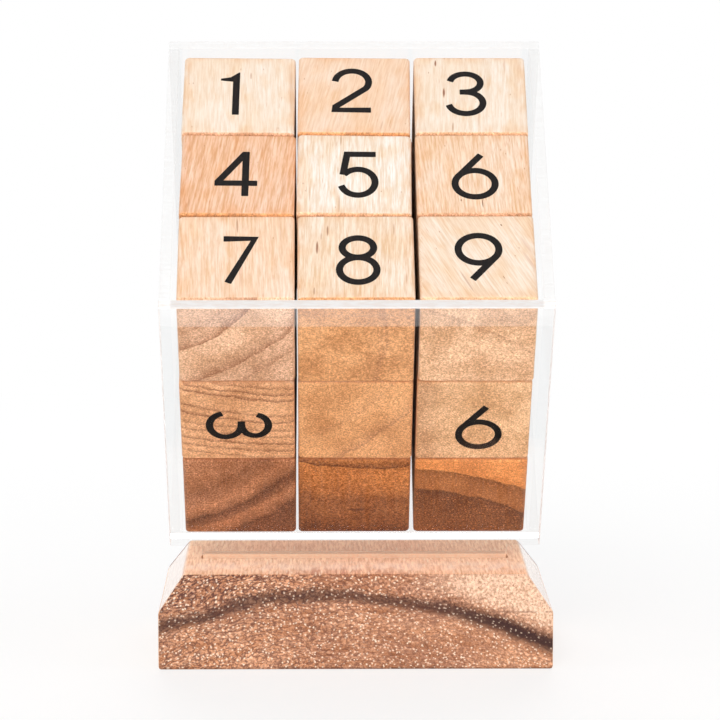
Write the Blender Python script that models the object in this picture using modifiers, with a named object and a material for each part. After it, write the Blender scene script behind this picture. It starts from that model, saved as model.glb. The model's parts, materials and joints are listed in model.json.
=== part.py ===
"""Number-cube puzzle: loose wooden cubes in a tilted clear tray that stands in a wooden plinth.

The origin is the centre of the plinth's underside. X runs from left to right, the front faces -Y
and Z is up. Lengths are in metres, the tilt is in degrees.

The tray is drawn square in its own frame and tilted as a whole: there x runs from left to right,
y from the front sheet to the back sheet and z from the tray's floor out of its open face.
"""
import math

import bmesh
import bpy
from mathutils import Matrix, Vector

# Cubes
CUBE_EDGE = 0.030
CUBE_ROUNDING = 0.0012
CUBE_ROUNDING_STEPS = 3
LEFT_COLUMN_GAP = 0.0007
RIGHT_COLUMN_GAP = 0.0012
REST_GAP = 0.0003

# Tray of glued clear sheets
TRAY_TILT = 40.0
SHEET_THICKNESS = 0.003
SHEET_EDGE_BREAK = 0.00025
GLUE_LINE = 0.0002
SIDE_CLEARANCE = 0.0014
BACK_CLEARANCE = 0.0035

# Tongue on the front sheet and its slot in the plinth
TRAY_STANDOFF = 0.0065
SLOT_DEPTH = 0.014
SLOT_FIT = 0.0003
SLOT_END_WOOD = 0.004
TONGUE_CORNER = 0.002

# Plinth
PLINTH_OVERHANG = 0.0021
PLINTH_DEPTH = 0.065
PLINTH_FACE_HEIGHT = 0.0155
PLINTH_BEVEL_RUN = 0.0065
PLINTH_BEVEL_RISE = 0.009
PLINTH_ROUNDING = 0.0007
PLINTH_ROUNDING_STEPS = 2

# Names of the cubes' places, from the tray's floor up, from its front and from its left
LAYERS = ("bottom", "middle", "top")
ROWS = ("front", "centre", "back")
COLUMNS = ("left", "mid", "right")

# Colours, as red, green and blue
LAYER_COLOURS = {
    "bottom": (0.36, 0.19, 0.10),
    "middle": (0.55, 0.33, 0.17),
    "top": (0.78, 0.57, 0.38),
}
PLINTH_COLOUR = (0.45, 0.22, 0.12)
SHEET_COLOUR = (0.95, 0.96, 0.96)

# Sizes that follow from those above
CUBE_PITCH = CUBE_EDGE + REST_GAP
STACK_WIDTH = len(COLUMNS) * CUBE_EDGE + LEFT_COLUMN_GAP + RIGHT_COLUMN_GAP
TRAY_WIDTH = STACK_WIDTH + 2 * SIDE_CLEARANCE
TRAY_DEPTH = len(ROWS) * CUBE_PITCH + BACK_CLEARANCE
TRAY_HEIGHT = len(LAYERS) * CUBE_PITCH
TRAY_OUTER_WIDTH = TRAY_WIDTH + 2 * SHEET_THICKNESS
WALL_HEIGHT = TRAY_HEIGHT + SHEET_THICKNESS
WALL_MIDDLE = (TRAY_HEIGHT - SHEET_THICKNESS) / 2

PLINTH_WIDTH = TRAY_OUTER_WIDTH + 2 * PLINTH_OVERHANG
PLINTH_HEIGHT = PLINTH_FACE_HEIGHT + PLINTH_BEVEL_RISE
SLOT_LENGTH = PLINTH_WIDTH - 2 * (PLINTH_BEVEL_RUN + SLOT_END_WOOD)
TONGUE_WIDTH = SLOT_LENGTH - 2 * SLOT_FIT
TONGUE_LENGTH = TRAY_STANDOFF + SLOT_DEPTH - REST_GAP


def clear_scene():
    for obj in list(bpy.data.objects):
        bpy.data.objects.remove(obj, do_unlink=True)


def new_collection(name):
    collection = bpy.data.collections.new(name)
    bpy.context.scene.collection.children.link(collection)
    return collection


def wood(name, colour):
    material = bpy.data.materials.new(name)
    material.use_nodes = True
    shader = material.node_tree.nodes["Principled BSDF"]
    shader.inputs["Base Color"].default_value = (*colour, 1.0)
    shader.inputs["Roughness"].default_value = 0.55
    shader.inputs["Metallic"].default_value = 0.0
    return material


def clear_acrylic(name, colour):
    material = bpy.data.materials.new(name)
    material.use_nodes = True
    shader = material.node_tree.nodes["Principled BSDF"]
    shader.inputs["Base Color"].default_value = (*colour, 1.0)
    shader.inputs["Roughness"].default_value = 0.05
    shader.inputs["Metallic"].default_value = 0.0
    shader.inputs["IOR"].default_value = 1.49
    shader.inputs["Transmission Weight"].default_value = 1.0
    return material


def block_mesh(name, size):
    """A box of the given size, centred on its own origin."""
    bm = bmesh.new()
    bmesh.ops.create_cube(bm, size=1.0)
    bmesh.ops.scale(bm, vec=size, verts=bm.verts)
    mesh = bpy.data.meshes.new(name)
    bm.to_mesh(mesh)
    bm.free()
    return mesh


def round_edges(obj, width, steps):
    bevel = obj.modifiers.new("rounded_edges", "BEVEL")
    bevel.width = width
    bevel.segments = steps
    bevel.limit_method = "ANGLE"


def add_part(obj, collection, material, parent=None):
    obj.data.materials.append(material)
    obj.parent = parent
    collection.objects.link(obj)
    return obj


def tray_frame(collection):
    """An empty at the foot of the cubes' space, where the front sheet meets the tray's floor.

    The middle of the tongue crosses the plinth's top on the plinth's centre line.
    """
    tilt = Matrix.Rotation(math.radians(TRAY_TILT), 3, "X")
    crossing = Vector((0.0, -SHEET_THICKNESS / 2, -SHEET_THICKNESS - TRAY_STANDOFF))
    frame = bpy.data.objects.new("tray_frame", None)
    frame.empty_display_size = CUBE_EDGE
    frame.rotation_euler = (math.radians(TRAY_TILT), 0.0, 0.0)
    frame.location = Vector((0.0, 0.0, PLINTH_HEIGHT)) - tilt @ crossing
    collection.objects.link(frame)
    return frame


def sheet(name, outline, location, rotation, collection, material, frame):
    """A flat sheet cut to an outline of (across, along) points, with its edges just broken."""
    curve = bpy.data.curves.new(name, "CURVE")
    curve.dimensions = "2D"
    curve.fill_mode = "BOTH"
    curve.extrude = SHEET_THICKNESS / 2
    spline = curve.splines.new("POLY")
    spline.points.add(len(outline) - 1)
    for point, (across, along) in zip(spline.points, outline):
        point.co = (across, along, 0.0, 1.0)
    spline.use_cyclic_u = True

    obj = bpy.data.objects.new(name, curve)
    obj.location = location
    obj.rotation_euler = [math.radians(angle) for angle in rotation]
    weld = obj.modifiers.new("weld_caps", "WELD")
    weld.merge_threshold = 0.00001
    round_edges(obj, SHEET_EDGE_BREAK, 1)
    return add_part(obj, collection, material, frame)


def rectangle(width, height):
    """Corner points of a rectangle about its own centre, anticlockwise."""
    half_width = width / 2
    half_height = height / 2
    return [
        (-half_width, -half_height),
        (half_width, -half_height),
        (half_width, half_height),
        (-half_width, half_height),
    ]


def front_outline():
    """The front sheet with its tongue, seen from the front, with height 0 on the tray's floor."""
    edge = TRAY_OUTER_WIDTH / 2
    tongue = TONGUE_WIDTH / 2
    foot = -SHEET_THICKNESS
    tip = foot - TONGUE_LENGTH
    right_half = [
        (tongue - TONGUE_CORNER, tip),
        (tongue, tip + TONGUE_CORNER),
        (tongue, foot),
        (edge, foot),
        (edge, TRAY_HEIGHT),
    ]
    left_half = [(-across, along) for across, along in reversed(right_half)]
    return right_half + left_half


def add_tray(collection, frame):
    acrylic = clear_acrylic("clear_acrylic", SHEET_COLOUR)
    inner_width = TRAY_WIDTH - 2 * GLUE_LINE
    inner_depth = TRAY_DEPTH - 2 * GLUE_LINE
    half_sheet = SHEET_THICKNESS / 2
    side_place = TRAY_WIDTH / 2 + half_sheet
    upright = (90.0, 0.0, 0.0)
    sideways = (90.0, 0.0, 90.0)

    sheet("front_panel", front_outline(), (0.0, -half_sheet, 0.0),
          upright, collection, acrylic, frame)
    sheet("back_panel", rectangle(TRAY_OUTER_WIDTH, WALL_HEIGHT),
          (0.0, TRAY_DEPTH + half_sheet, WALL_MIDDLE), upright, collection, acrylic, frame)
    sheet("left_panel", rectangle(inner_depth, WALL_HEIGHT),
          (-side_place, TRAY_DEPTH / 2, WALL_MIDDLE), sideways, collection, acrylic, frame)
    sheet("right_panel", rectangle(inner_depth, WALL_HEIGHT),
          (side_place, TRAY_DEPTH / 2, WALL_MIDDLE), sideways, collection, acrylic, frame)
    sheet("floor_panel", rectangle(inner_width, inner_depth),
          (0.0, TRAY_DEPTH / 2, -half_sheet), (0.0, 0.0, 0.0), collection, acrylic, frame)


def column_centres():
    """Each column's middle, from left to right, with the stack centred in the tray."""
    left = -STACK_WIDTH / 2 + CUBE_EDGE / 2
    mid = left + CUBE_EDGE + LEFT_COLUMN_GAP
    right = mid + CUBE_EDGE + RIGHT_COLUMN_GAP
    return (left, mid, right)


def add_cubes(collection, frame):
    """Cubes lie against the front sheet and on the tray's floor, each against the next."""
    mesh = block_mesh("cube", (CUBE_EDGE, CUBE_EDGE, CUBE_EDGE))
    first = REST_GAP + CUBE_EDGE / 2
    for layer, layer_name in enumerate(LAYERS):
        for row, row_name in enumerate(ROWS):
            for column_name, across in zip(COLUMNS, column_centres()):
                name = f"cube_{layer_name}_{row_name}_{column_name}"
                cube = bpy.data.objects.new(name, mesh.copy())
                cube.location = (across, first + row * CUBE_PITCH, first + layer * CUBE_PITCH)
                cube.data.shade_smooth()
                round_edges(cube, CUBE_ROUNDING, CUBE_ROUNDING_STEPS)
                cube.modifiers["rounded_edges"].harden_normals = True
                add_part(cube, collection, wood(f"{name}_wood", LAYER_COLOURS[layer_name]), frame)


def slot_cutter(collection, frame):
    """The room for the tongue, from the slot's end up to the tray's underside."""
    height = TRAY_STANDOFF + SLOT_DEPTH
    size = (SLOT_LENGTH, SHEET_THICKNESS + 2 * SLOT_FIT, height)
    cutter = bpy.data.objects.new("slot_cutter", block_mesh("slot_cutter", size))
    cutter.location = (0.0, -SHEET_THICKNESS / 2, -SHEET_THICKNESS - height / 2)
    cutter.hide_render = True
    cutter.display_type = "WIRE"
    cutter.parent = frame
    collection.objects.link(cutter)
    return cutter


def add_plinth(collection, cutter):
    """A block whose upper edges are planed back on all four sides, slotted for the tongue."""
    bm = bmesh.new()
    bmesh.ops.create_cube(bm, size=1.0)
    bmesh.ops.scale(bm, vec=(PLINTH_WIDTH, PLINTH_DEPTH, PLINTH_FACE_HEIGHT), verts=bm.verts)
    bmesh.ops.translate(bm, vec=(0.0, 0.0, PLINTH_FACE_HEIGHT / 2), verts=bm.verts)
    top = max(bm.faces, key=lambda face: face.calc_center_median().z)
    raised = bmesh.ops.extrude_discrete_faces(bm, faces=[top])["faces"][0]
    for vert in raised.verts:
        vert.co.x -= math.copysign(PLINTH_BEVEL_RUN, vert.co.x)
        vert.co.y -= math.copysign(PLINTH_BEVEL_RUN, vert.co.y)
        vert.co.z += PLINTH_BEVEL_RISE
    mesh = bpy.data.meshes.new("plinth")
    bm.to_mesh(mesh)
    bm.free()

    plinth = bpy.data.objects.new("plinth", mesh)
    round_edges(plinth, PLINTH_ROUNDING, PLINTH_ROUNDING_STEPS)
    slot = plinth.modifiers.new("tongue_slot", "BOOLEAN")
    slot.operation = "DIFFERENCE"
    slot.solver = "EXACT"
    slot.object = cutter
    add_part(plinth, collection, wood("plinth_wood", PLINTH_COLOUR))


def main():
    clear_scene()
    parts = new_collection("number_cube_puzzle")
    cutters = new_collection("cutters")
    frame = tray_frame(parts)
    add_tray(parts, frame)
    add_cubes(parts, frame)
    add_plinth(parts, slot_cutter(cutters, frame))


main()
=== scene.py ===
"""The looks of a number puzzle: twenty-seven wooden cubes in a clear, tilted tray on a wooden plinth."""

import json
import math
import random
from collections import namedtuple
from types import SimpleNamespace

import bmesh
import bpy
from mathutils import Matrix, Vector, noise


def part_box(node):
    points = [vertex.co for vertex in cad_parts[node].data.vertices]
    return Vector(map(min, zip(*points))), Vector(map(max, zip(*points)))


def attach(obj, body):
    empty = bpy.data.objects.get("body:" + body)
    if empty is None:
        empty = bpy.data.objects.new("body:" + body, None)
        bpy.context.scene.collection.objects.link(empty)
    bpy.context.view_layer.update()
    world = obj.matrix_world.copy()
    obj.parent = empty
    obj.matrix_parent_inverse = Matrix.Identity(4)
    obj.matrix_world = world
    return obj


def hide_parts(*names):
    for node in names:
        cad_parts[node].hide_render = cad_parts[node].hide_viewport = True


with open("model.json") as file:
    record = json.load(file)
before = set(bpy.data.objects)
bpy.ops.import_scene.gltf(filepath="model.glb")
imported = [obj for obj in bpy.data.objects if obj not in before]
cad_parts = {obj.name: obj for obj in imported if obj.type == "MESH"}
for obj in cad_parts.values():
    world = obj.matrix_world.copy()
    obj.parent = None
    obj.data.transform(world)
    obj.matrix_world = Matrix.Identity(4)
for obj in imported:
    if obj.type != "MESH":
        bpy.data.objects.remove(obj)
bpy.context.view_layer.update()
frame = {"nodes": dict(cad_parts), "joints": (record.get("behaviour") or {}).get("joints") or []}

MM = 0.001

# The tray's own axes, taken from the way it lifts out of the plinth
tray_lift = next(joint for joint in frame["joints"] if joint["name"] == "tray_lift")
OUT = Vector(tray_lift["axis"]).normalized()
ACROSS = Vector((1, 0, 0))
BACK = OUT.cross(ACROSS)
TRAY_TURN = Matrix((ACROSS, BACK, OUT)).transposed().to_4x4()

# The camera, as the photograph was taken
PHOTO_PIXELS = 720
FOCAL_PIXELS = 3521.8
SENSOR_WIDTH = 36.0
CAMERA_PLACE = (-0.0096, -0.9507, 0.2002)
CAMERA_PITCH = math.radians(7.277)
CAMERA_YAW = math.radians(0.668)

# The cubes, each with its layer, from the bottom to the top, the front to the back and the left to the right
CUBES = [
    (layer, f"cube_{layer}_{row}_{column}")
    for layer in ("bottom", "middle", "top")
    for row in ("front", "centre", "back")
    for column in ("left", "mid", "right")
]
LAYER_SLOTS = {"bottom": "brown_wood", "middle": "tan_wood", "top": "pale_wood"}
CUBE_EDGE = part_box("cube_top_back_left")[1].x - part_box("cube_top_back_left")[0].x
CUBE_HALF = CUBE_EDGE / 2
CUBE_ROUNDING = Vector((1.3, 0.9, 1.0)) * MM
ROUNDING_UNEVENNESS = 0.35
ROUNDING_STEPS = 3
ROUNDING_WAVES = 0.10 / MM
FLAT_MARGIN = 0.5 * MM
SLACK_TURN = 0.22
SLACK_SHIFT = 0.12 * MM

# Cubes that stand a little askew, in degrees, which closes the view through the gap beside them
SEEN_TURNS = {
    "cube_top_back_left": -0.7,
    "cube_top_back_mid": -0.7,
    "cube_top_centre_left": -0.8,
    "cube_top_centre_mid": -0.8,
}

# The printed numbers, drawn in millimetres
STROKE = 1.85
INK_SUNK = 0.02
INK_PROUD = 0.03
ARC_STEP = math.radians(9)
DIGIT_TALLNESS = 1.07
PEN_END = 0.35
PEN_END_SQUARENESS = 0.3
PEN_END_STEPS = 10
SHARPEST_MITRE = 0.75
SAME_POINT = 1e-6

# The plinth, in millimetres: its bevel, and the pith and the dark ring of its wood
PLINTH_FACE_HEIGHT = 15.5
PLINTH_BEVEL_RUN = 6.5
PLINTH_HALF_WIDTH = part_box("plinth")[1].x / MM
PLINTH_HALF_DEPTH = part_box("plinth")[1].y / MM
PLINTH_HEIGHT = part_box("plinth")[1].z / MM
PLINTH_PITH = (-5.0, -122.0)
PLINTH_BAND = 141.2
PLINTH_TOP_EDGE = PLINTH_HALF_DEPTH - PLINTH_BEVEL_RUN
PLINTH_SIDE_BEVEL = PLINTH_HALF_WIDTH - PLINTH_BEVEL_RUN

# The front sheet, in millimetres: how far its paint shows above the plinth, how far down from the rim a faint
# painted reflection reaches, and how softly the two end
PAINT_ABOVE_PLINTH = 1.2
PAINT_FADE = 0.3
PAINTED_VEIL_BAND = 7.0
PAINTED_VEIL_FADE = 0.2

# Half the tray's inner width, in millimetres
INNER_HALF_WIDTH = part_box("right_panel")[0].x / MM


class Shade:
    """A socket in one material's nodes. Sums on it are written in Python and add Math nodes."""

    def __init__(self, tree, socket=None):
        self.tree = tree
        self.socket = socket

    def node(self, kind, inputs=None, output=0, stops=(), **settings):
        """Adds a node, sets it up, then fills its sockets, and returns one of its outputs."""
        made = self.tree.nodes.new("ShaderNode" + kind)
        for name, value in settings.items():
            setattr(made, name, value)
        for number, (place, value) in enumerate(stops):
            elements = made.color_ramp.elements
            stop = elements[number] if number < 2 else elements.new(place)
            stop.position = place
            stop.color = (value, value, value, 1)
        for place, value in (inputs or {}).items():
            if isinstance(value, Shade):
                self.tree.links.new(value.socket, made.inputs[place])
            else:
                made.inputs[place].default_value = value
        return Shade(self.tree, made.outputs[output] if made.outputs else None)

    def maths(self, operation, *others):
        return self.node("Math", dict(enumerate((self, *others))), operation=operation)

    def __add__(self, other):
        return self.maths("ADD", other)

    def __sub__(self, other):
        return self.maths("SUBTRACT", other)

    def __rsub__(self, other):
        return self.maths("MULTIPLY_ADD", -1, other)

    def __mul__(self, other):
        return self.maths("MULTIPLY", other)

    def __truediv__(self, other):
        return self.maths("DIVIDE", other)

    def __pow__(self, other):
        return self.maths("POWER", other)

    def __abs__(self):
        return self.maths("ABSOLUTE")

    __radd__ = __add__
    __rmul__ = __mul__

    def rise(self, low, high):
        """0 below low, 1 above high, and a soft step between them."""
        return self.node("MapRange", {0: self, 1: low, 2: high}, interpolation_type="SMOOTHSTEP")

    def fall(self, low, high):
        """1 below low, 0 above high, and a soft step between them."""
        return 1 - self.rise(low, high)

    def parts(self):
        """The three numbers of a vector."""
        return [self.node("SeparateXYZ", {0: self}, output=axis) for axis in range(3)]

    def stretched(self, sizes):
        """This vector, multiplied along each of its axes."""
        return self.node("VectorMath", {0: self, 1: sizes}, operation="MULTIPLY")

    def moved(self, shift):
        """This vector, with another one added."""
        return self.node("VectorMath", {0: self, 1: shift}, operation="ADD")

    def clouds(self, sizes, detail=2.0, roughness=0.5):
        """Soft noise from 0 to 1 on this vector, with so many waves per millimetre along each axis."""
        inputs = {"Vector": self.stretched(sizes), "Scale": 1.0}
        return self.node("TexNoise", inputs | {"Detail": detail, "Roughness": roughness})

    def cells(self, sizes, output="Distance"):
        """Scattered cells on this vector: how far the nearest cell's middle is, or that cell's own colour."""
        return self.node("TexVoronoi", {"Vector": self.stretched(sizes), "Scale": 1.0}, output=output)

    def spots(self, sizes, reach, chance, channel=0):
        """A spot in each cell's middle, 1 and then 0 at two reaches, and fainter where the chance is low."""
        random_share = self.cells(sizes, output="Color").parts()[channel]
        return self.cells(sizes).fall(*reach) * random_share.rise(*chance)

    def mix(self, first, second):
        """One colour to another, as this mask goes from 0 to 1."""
        return self.node("Mix", {0: self, 6: first, 7: second}, output=2, data_type="RGBA")

    def tinted(self, low, high, mask):
        """This colour, multiplied by one tint where the mask is 0 and by another where it is 1."""
        inputs = {0: 1.0, 6: self, 7: mask.mix(low, high)}
        return self.node("Mix", inputs, output=2, data_type="RGBA", blend_type="MULTIPLY")

    def blend(self, first, second):
        """One surface to another, as this mask goes from 0 to 1."""
        return self.node("MixShader", {0: self, 1: first, 2: second})


def colour(red, green, blue):
    return (red, green, blue, 1.0)


def dimmed(tone, red, green, blue):
    """A colour, multiplied channel by channel."""
    return colour(tone[0] * red, tone[1] * green, tone[2] * blue)


def tint(depth, red, green, blue):
    """What to multiply a colour by: 1, and so much more or less in each channel at this depth."""
    return colour(1 + depth * red, 1 + depth * green, 1 + depth * blue)


def new_material(name):
    """An empty material and the start of its nodes."""
    material = bpy.data.materials.new(name)
    material.use_nodes = True
    material.node_tree.nodes.clear()
    return material, Shade(material.node_tree)


def millimetres(start):
    """A point of the piece, in millimetres along the piece's own axes."""
    place = start.node("TexCoord", output="Object")
    return place.node("VectorMath", {0: place, "Scale": 1 / MM}, operation="SCALE")


def surface_of(start, base, roughness, others=None):
    """A surface of this colour and roughness, with other settings by their names."""
    return start.node("BsdfPrincipled", {"Base Color": base, "Roughness": roughness} | (others or {}))


def wood_surface(start, base, roughness, height, depth, gloss, varnish=0.0):
    """Sanded wood with a height map of that depth in metres, and varnish where there is any."""
    others = {
        "Specular IOR Level": gloss,
        "Coat Weight": varnish,
        "Coat Roughness": 0.08,
        "Normal": start.node("Bump", {"Strength": 0.6, "Distance": depth, "Height": height}),
    }
    start.node("OutputMaterial", {0: surface_of(start, base, roughness, others)})


def patterns(wood, clouds, spots):
    """The soft patterns and the spots in some wood, by their names."""
    found = {name: wood.clouds(*cloud) for name, cloud in clouds.items()}
    return found | {name: wood.spots(*spot) for name, spot in spots.items()}


# A cube's wood. Face is the colour of its long grain, end that of its end grain and late that of the dark
# side of its rings. The pith is the middle of its rings, in millimetres across and out from the cube's own
# middle. Years are the dark lines between the rings, counted away from the pith, and face rings is how
# strongly they show on the long grain. Lean is how far the fibres drift across, for each millimetre back, and
# flecks is how strongly darker fibres mark the faces. Face marks lie across and back, end marks across, out.
Grain = namedtuple(
    "Grain", "face end late pith years face_rings lean flecks face_marks end_marks", defaults=((), ())
)

# What a year's four numbers are: how far the line is from the cube's middle, its depth of colour, how many
# millimetres before it the wood starts to darken, and the depth of colour just after it
Year = namedtuple("Year", "place depth run after")

# What a small natural mark's five numbers are: its middle, half its width and length, and its depth of colour
Mark = namedtuple("Mark", "across along half_width half_length depth")

WHITE = colour(1, 1, 1)

CREAM = colour(0.89, 0.80, 0.72)
IVORY = colour(0.88, 0.76, 0.65)
SAND = colour(0.88, 0.72, 0.57)
PEACH = colour(0.88, 0.68, 0.54)
OAT = colour(0.87, 0.73, 0.61)
HONEY = colour(0.86, 0.58, 0.43)
FAWN = colour(0.86, 0.54, 0.35)
ACORN = colour(0.62, 0.31, 0.16)
HAZEL = colour(0.54, 0.255, 0.125)
BISCUIT = colour(1.0, 0.61, 0.35)
APRICOT = colour(1.0, 0.60, 0.315)
TAN = colour(0.93, 0.56, 0.34)
GOLDEN = colour(0.92, 0.455, 0.19)
COPPER = colour(0.92, 0.48, 0.235)
AMBER = colour(0.82, 0.30, 0.085)
CHESTNUT = colour(0.56, 0.225, 0.098)
TOFFEE = colour(0.60, 0.21, 0.056)
SIENNA = colour(0.46, 0.20, 0.10)
RUSSET = colour(0.36, 0.13, 0.06)
UMBER = colour(0.115, 0.030, 0.012)

LEFT_ARCS = (
    (-10.8, 0.7, 3, 0.35), (-5.7, 1.0, 5, 0.0), (6.4, 0.95, 6, 0.35), (11.7, 0.8, 3, 0.4),
)
SMUDGE = ((-9, 0.3, 5, 0.2), (8, 0.6, 6, 0.3))
FAINT_LINE = ((1.6, 0.5, 1.5, 0.15), (9, 0.3, 4, 0.1))
THIN_LINES = tuple(
    (place, depth, 1.1, 0.15)
    for place, depth in (
        (-13.4, 0.7), (-11, 0.9), (-8.8, 1.0), (-3, 0.7), (-0.3, 0.9),
        (2.8, 0.6), (5.4, 0.7), (8.5, 0.9), (11, 0.8), (13.6, 0.7),
    )
)
RISING_LINES = ((-2, 0.4, 3, 0.2), (7.7, 0.7, 4, 0.3))
DARK_SIDE = ((13, 0.55, 11, 0.55),)
DARK_BANDS = (
    (-7, 0.6, 6, 0.5), (-2, 0.1, 5, 0.1), (2.2, 1.0, 4, 0.95),
    (6, 0.2, 4, 0.2), (10.5, 1.0, 4.5, 0.9),
)
DARK_TOP = ((-11.7, 0.95, 3, 0.0), (2, 0.7, 10, 0.65), (14, 1.0, 10, 0.95))
LIGHT_WEDGE = ((-20, 0.95, 3, 0.9), (0.4, 1.0, 9, 0.6), (8.2, 0.8, 6, 0.0))
EVEN_RINGS = tuple((place, 0.5, 3.5, 0.1) for place in (-13, -8.5, -3.5, 1.5, 7, 12))

SEEN_GRAINS = {
    "cube_top_back_left": Grain(
        IVORY, TAN, SIENNA, (-40, 30), EVEN_RINGS, 0.3, 0.02, 0.15,
        ((3.2, 7.5, 0.25, 1.2, 0.5), (14.0, 2.0, 0.5, 9.0, 0.3), (-13.6, 9.0, 0.4, 4.0, 0.2)),
    ),
    "cube_top_back_mid": Grain(
        PEACH, GOLDEN, SIENNA, (60, 20), EVEN_RINGS, 0.5, -0.18, 0.2,
        ((9.5, -12.0, 0.25, 2.0, 0.35), (11.6, -11.0, 0.2, 2.0, 0.35)),
    ),
    "cube_top_back_right": Grain(
        IVORY, BISCUIT, SIENNA, (-15, 60), FAINT_LINE, 0.2, -0.03, 0.2,
        (
            (-9.5, 12.3, 0.28, 1.3, 0.9), (-7.1, 0.9, 0.35, 2.2, 0.95),
            (-5.6, 6.0, 0.2, 1.8, 0.5), (-4.6, -12.6, 0.25, 2.0, 0.6),
            (2.3, -10.0, 0.2, 3.0, 0.35), (9.2, 11.0, 0.25, 3.0, 0.3),
        ),
    ),
    "cube_top_centre_left": Grain(
        HONEY, GOLDEN, SIENNA, (-55, 8), EVEN_RINGS, 0.7, -0.10, 0.8,
        ((-11.4, -11.0, 0.3, 2.0, 0.45), (12.6, -4.0, 0.4, 6.0, 0.3)),
    ),
    "cube_top_centre_mid": Grain(
        CREAM, BISCUIT, SIENNA, (70, -9), EVEN_RINGS, 0.4, 0.0, 0.6,
        (
            (-3.6, 12.6, 0.2, 2.4, 0.6), (-3.9, -11.5, 0.2, 3.5, 0.5),
            (-11.6, -7.0, 0.2, 3.5, 0.4), (6.5, -9.0, 0.18, 4.0, 0.3),
        ),
    ),
    "cube_top_centre_right": Grain(
        PEACH, TAN, SIENNA, (50, 28), EVEN_RINGS, 0.4, 0.05, 0.9,
        ((1.6, -11.0, 0.15, 1.7, 0.9), (-3.9, -9.9, 0.18, 0.5, 0.9), (8.0, 9.0, 0.16, 0.4, 0.6)),
    ),
    "cube_top_front_left": Grain(
        PEACH, TAN, SIENNA, (-33, 37), LEFT_ARCS, 0.3, 0.03, 0.6,
        ((0.5, 11.3, 0.28, 2.8, 0.6), (1.2, -6.0, 0.5, 5.0, 0.3), (11.6, 9.0, 0.3, 4.0, 0.3)),
    ),
    "cube_top_front_mid": Grain(
        OAT, GOLDEN, SIENNA, (-75, 4), SMUDGE, 0.3, -0.02, 0.7,
        (
            (-7.4, 9.3, 0.3, 2.0, 0.75), (-10.0, 3.2, 0.32, 2.3, 0.85),
            (-9.0, 7.2, 0.2, 1.4, 0.5), (9.7, 9.6, 0.22, 2.4, 0.5),
            (-10.5, -12.4, 0.28, 1.5, 0.6), (13.0, -8.0, 0.3, 2.0, 0.4),
        ),
    ),
    "cube_top_front_right": Grain(
        OAT, BISCUIT, SIENNA, (-55, -76), FAINT_LINE, 0.5, 0.45, 0.35,
        (
            (11.6, 11.2, 0.2, 0.35, 0.95), (3.1, -7.6, 0.16, 0.7, 0.8),
            (2.9, -9.6, 0.16, 0.3, 0.8), (-7.0, -9.0, 0.3, 4.0, 0.5),
            (12.5, -3.0, 0.5, 5.0, 0.35), (14.5, 4.0, 0.5, 3.0, 0.3),
        ),
    ),
    "cube_middle_front_left": Grain(FAWN, COPPER, RUSSET, (12, 85), THIN_LINES, 0.4, 0.02, 0.2),
    "cube_middle_front_mid": Grain(FAWN, GOLDEN, SIENNA, (-60, 60), RISING_LINES, 0.4, 0.02, 0.2),
    "cube_middle_front_right": Grain(FAWN, APRICOT, SIENNA, (80, 5), DARK_SIDE, 0.4, 0.02, 0.2),
    "cube_bottom_front_left": Grain(ACORN, CHESTNUT, UMBER, (-40, 55), DARK_BANDS, 0.6, 0.02, 0.2),
    "cube_bottom_front_mid": Grain(
        ACORN, TOFFEE, UMBER, (5, 90), DARK_TOP, 0.6, 0.02, 0.2, (), ((1.0, -5.3, 2.6, 0.6, 1.0),),
    ),
    "cube_bottom_front_right": Grain(ACORN, AMBER, UMBER, (-20, -62), LIGHT_WEDGE, 0.6, 0.02, 0.2),
}
LAYER_FACES = {"bottom": (ACORN, HAZEL), "middle": (FAWN, HONEY), "top": (IVORY, SAND)}
LAYER_ENDS = {"bottom": (CHESTNUT, TOFFEE), "middle": (COPPER, GOLDEN), "top": (TAN, BISCUIT)}
LAYER_LATES = {"bottom": UMBER, "middle": RUSSET, "top": SIENNA}
YEAR_SETS = (LEFT_ARCS, SMUDGE, FAINT_LINE, THIN_LINES, RISING_LINES, DARK_BANDS, EVEN_RINGS)
MARK_LIGHT = colour(0.72, 0.33, 0.14)
MARK_DARK = colour(0.20, 0.06, 0.025)

# The green of a face, and the red of an end, below which the wood counts as dark and shows more figure, and
# how much more an end shows
PALE_FACE = 0.68
PALE_END = 0.85
END_DEPTH = 2.5

# The rings in millimetres: how far their colours are laid out on each side of the cube's middle, how close
# two stops may come, and where around a line its depth and its after depth are reached. A run that is broader
# than this one starts slowly: it has the slow share of its depth when the slow part is still to come.
YEAR_REACH = 26.0
STOP_GAP = 0.1
LINE_BEFORE = 0.12
LINE_AFTER = 0.22
FIRST_DEPTH = 0.2
BROAD_RUN = 2.0
SLOW_PART = 0.35
SLOW_SHARE = 0.4


def hidden_grain(layer, draw):
    """A grain for a cube that the photograph hides, like that of its layer."""
    pith = (draw.choice((-1, 1)) * draw.uniform(15, 70), draw.uniform(10, 80))
    return Grain(
        draw.choice(LAYER_FACES[layer]),
        draw.choice(LAYER_ENDS[layer]),
        LAYER_LATES[layer],
        pith,
        draw.choice(YEAR_SETS),
        draw.uniform(0.2, 0.6),
        draw.uniform(-0.2, 0.2),
        draw.uniform(0.1, 0.6),
    )


def year_stops(years):
    """The rings' depth of colour as stops, from one side of the cube to the other."""
    stops = [(0.0, FIRST_DEPTH)]
    for year in map(Year._make, years):
        runs_from = max(year.place - year.run, (stops[-1][0] * 2 - 1) * YEAR_REACH + STOP_GAP)
        before = stops[-1][1]
        slow_depth = before * (1 - SLOW_SHARE) + year.depth * SLOW_SHARE
        slow_start = [(year.place - year.run * SLOW_PART, slow_depth)]
        for place, value in (
            (runs_from, before),
            *(slow_start if year.run > BROAD_RUN else []),
            (year.place - LINE_BEFORE, year.depth),
            (year.place + LINE_AFTER, year.after),
        ):
            stops.append((place / YEAR_REACH / 2 + 0.5, value))
    return stops


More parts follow.
